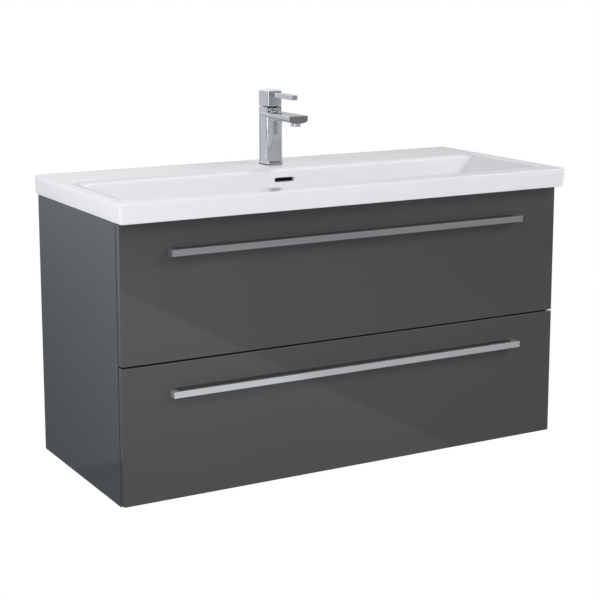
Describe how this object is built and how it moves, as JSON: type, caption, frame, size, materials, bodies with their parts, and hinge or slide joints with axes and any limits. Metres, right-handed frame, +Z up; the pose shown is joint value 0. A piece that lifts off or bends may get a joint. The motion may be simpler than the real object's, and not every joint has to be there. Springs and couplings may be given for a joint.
{
  "type": "bathroom vanity cabinet",
  "caption": "Wall-hung bathroom vanity: two wide drawers with bar handles under a rectangular ceramic washbasin with a lever tap, waste and bottle trap.",
  "frame": {"origin": "on the wall plane, at the middle of the cabinet's width and level with the underside of the carcass; the rear edge of the bottom panel meets it", "axes": "+X to the right along the wall seen from the front, +Y into the wall, so the drawers open along -Y, +Z up"},
  "size_m": [1.003, 0.446, 0.7364],
  "materials": {
    "lacquer_front": "high-gloss anthracite lacquer",
    "carcass_board": "gloss grey laminate",
    "inner_board": "light grey melamine",
    "beech": "plain beech",
    "handle_metal": "polished",
    "steel_side": "silver grey powder coat",
    "zinc_steel": "zinc plated",
    "chrome": "polished",
    "ceramic": "white glaze",
    "rubber_black": "matt",
    "grey_plastic": "satin",
    "dark_plastic": "satin",
    "white_plastic": "satin",
    "clear_bumper": "translucent",
    "brass": "machined"
  },
  "bodies": {
    "cabinet": {"left_side_panel": "carcass_board", "right_side_panel": "carcass_board", "bottom_panel": "carcass_board", "middle_rail": "carcass_board", "rear_top_rail": "inner_board", "rear_bottom_rail": "inner_board", "cam_fittings": "zinc_steel", "dowels": "beech", "front_buffers": "clear_bumper", "hanger_housings": "white_plastic", "hanger_hooks": "zinc_steel", "wall_plates": "zinc_steel", "slide_rails": "zinc_steel", "slide_screws": "zinc_steel", "soft_close_units": "dark_plastic", "washbasin": "ceramic", "waste_body": "chrome", "waste_gasket": "rubber_black", "waste_nut": "chrome", "trap_tailpiece": "chrome", "trap_head": "chrome", "trap_cup": "chrome", "trap_nuts": "chrome", "trap_outlet_pipe": "chrome", "tap_body": "chrome", "tap_base_seal": "rubber_black", "tap_aerator": "chrome", "tap_cartridge": "white_plastic", "cartridge_cover": "chrome", "tap_stud": "zinc_steel", "tap_bracket": "zinc_steel", "tap_nut": "brass"},
    "upper_drawer": {"upper_front": "lacquer_front", "upper_handle": "handle_metal", "upper_handle_screws": "zinc_steel", "upper_left_side": "steel_side", "upper_right_side": "steel_side", "upper_bottom": "inner_board", "upper_back": "inner_board", "siphon_surround": "grey_plastic", "upper_rods": "steel_side", "upper_brackets": "zinc_steel", "upper_runners": "zinc_steel"},
    "upper_mid": {"upper_mid_slides": "zinc_steel"},
    "lower_drawer": {"lower_front": "lacquer_front", "lower_handle": "handle_metal", "lower_handle_screws": "zinc_steel", "lower_left_side": "steel_side", "lower_right_side": "steel_side", "lower_bottom": "inner_board", "lower_back": "inner_board", "lower_rods": "steel_side", "lower_brackets": "zinc_steel", "lower_runners": "zinc_steel"},
    "lower_mid": {"lower_mid_slides": "zinc_steel"},
    "plug": {"waste_plug": "chrome"},
    "tap_spindle": {"cartridge_driver": "brass"},
    "tap_handle": {"tap_lever": "chrome"}
  },
  "joints": [
    {"name": "upper_drawer_slide", "type": "slide", "parent": "cabinet", "child": "upper_drawer", "axis": [0, -1, 0], "range_m": [0, 0.35]},
    {"name": "upper_mid_slide", "type": "slide", "parent": "cabinet", "child": "upper_mid", "axis": [0, -1, 0], "range_m": [0, 0.175]},
    {"name": "lower_drawer_slide", "type": "slide", "parent": "cabinet", "child": "lower_drawer", "axis": [0, -1, 0], "range_m": [0, 0.35]},
    {"name": "lower_mid_slide", "type": "slide", "parent": "cabinet", "child": "lower_mid", "axis": [0, -1, 0], "range_m": [0, 0.175]},
    {"name": "waste_plug_slide", "type": "slide", "parent": "cabinet", "child": "plug", "axis": [0, 0, 1], "range_m": [0, 0.008]},
    {"name": "tap_swivel", "type": "hinge", "parent": "cabinet", "child": "tap_spindle", "pos_m": [0, -0.078, 0.701], "axis": [0, 0, 1], "range_deg": [-45, 45]},
    {"name": "tap_lift", "type": "hinge", "parent": "tap_spindle", "child": "tap_handle", "pos_m": [0, -0.062, 0.703], "axis": [-1, 0, 0], "range_deg": [0, 14]}
  ],
  "couplings": [
    {"joint": "upper_mid_slide", "follows": "upper_drawer_slide", "ratio": 0.5},
    {"joint": "lower_mid_slide", "follows": "lower_drawer_slide", "ratio": 0.5}
  ]
}
